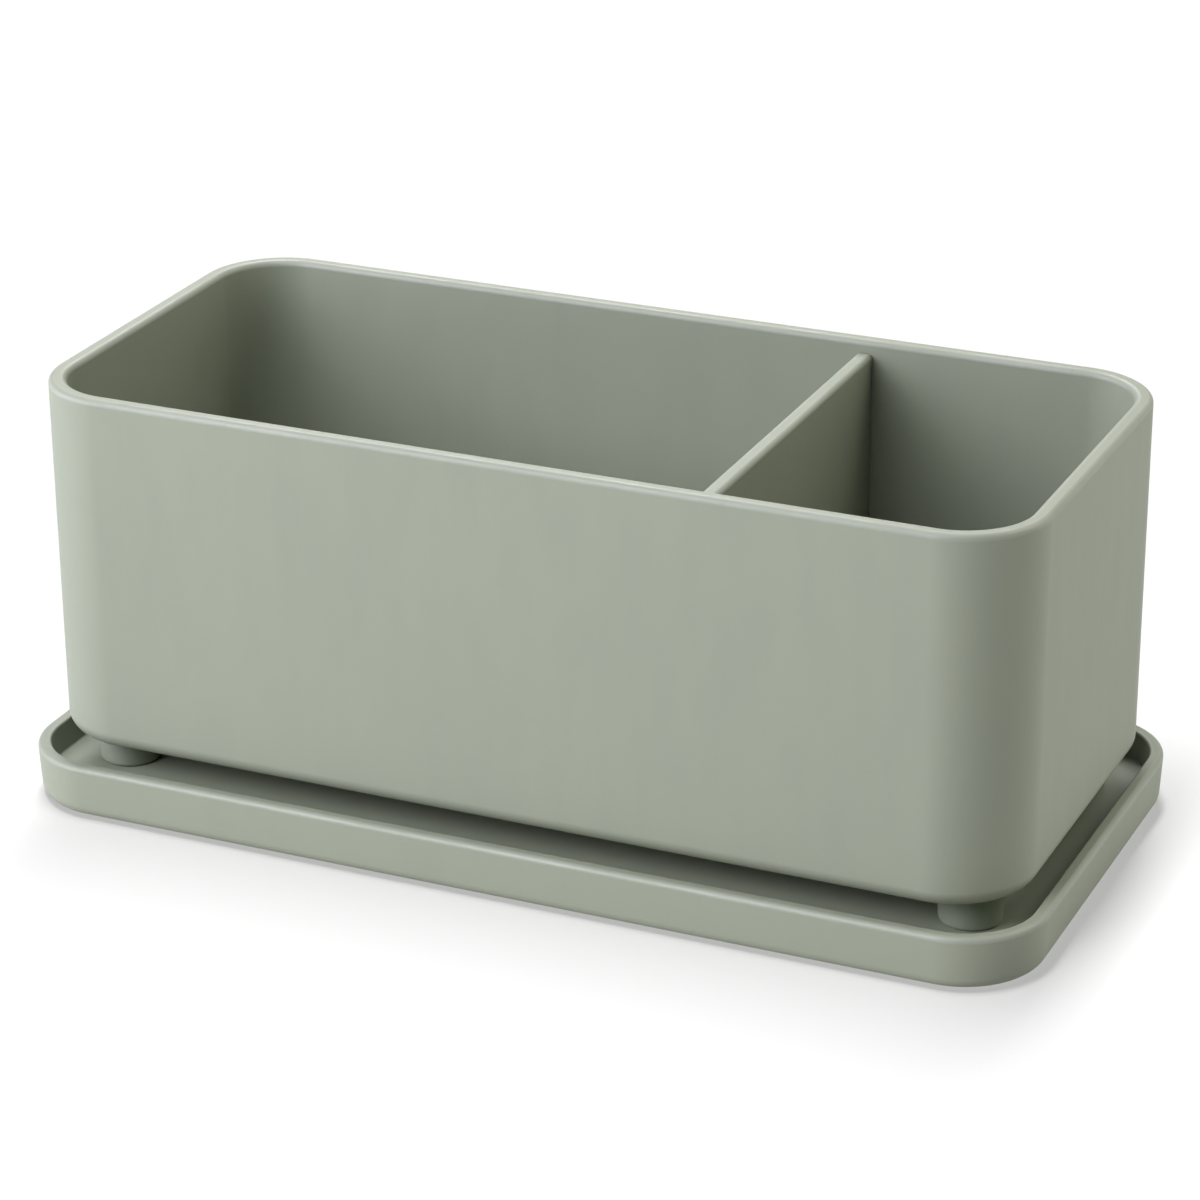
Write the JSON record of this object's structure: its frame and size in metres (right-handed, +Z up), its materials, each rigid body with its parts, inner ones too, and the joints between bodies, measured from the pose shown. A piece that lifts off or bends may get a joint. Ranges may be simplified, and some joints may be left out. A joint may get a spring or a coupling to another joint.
{
  "type": "kitchen sink caddy",
  "caption": "Open-top moulded sink caddy with rounded corners, a lift-out divider and feet, standing in a shallow drip tray.",
  "frame": {"origin": "on the counter, under the middle of the drip tray", "axes": "+X along the caddy towards the small compartment, +Y to the back, +Z up"},
  "size_m": [0.2498, 0.1228, 0.1033],
  "materials": {
    "caddy_plastic": "fine matte moulded",
    "foot_rubber": "matte moulded",
    "pad_silicone": "matte silicone"
  },
  "bodies": {
    "tray_base": {"drip_tray": "caddy_plastic", "tray_pad_front_left": "pad_silicone", "tray_pad_front_right": "pad_silicone", "tray_pad_rear_left": "pad_silicone", "tray_pad_rear_right": "pad_silicone"},
    "caddy_box": {"caddy_body": "caddy_plastic", "foot_front_left": "foot_rubber", "foot_front_right": "foot_rubber", "foot_rear_left": "foot_rubber", "foot_rear_right": "foot_rubber"},
    "divider_panel": {"divider": "caddy_plastic"}
  },
  "joints": [
    {"name": "caddy_lift", "type": "slide", "parent": "tray_base", "child": "caddy_box", "axis": [0, 0, 1], "range_m": [0, 0.05]},
    {"name": "divider_lift", "type": "slide", "parent": "caddy_box", "child": "divider_panel", "axis": [0, 0, 1], "range_m": [0, 0.09]}
  ]
}
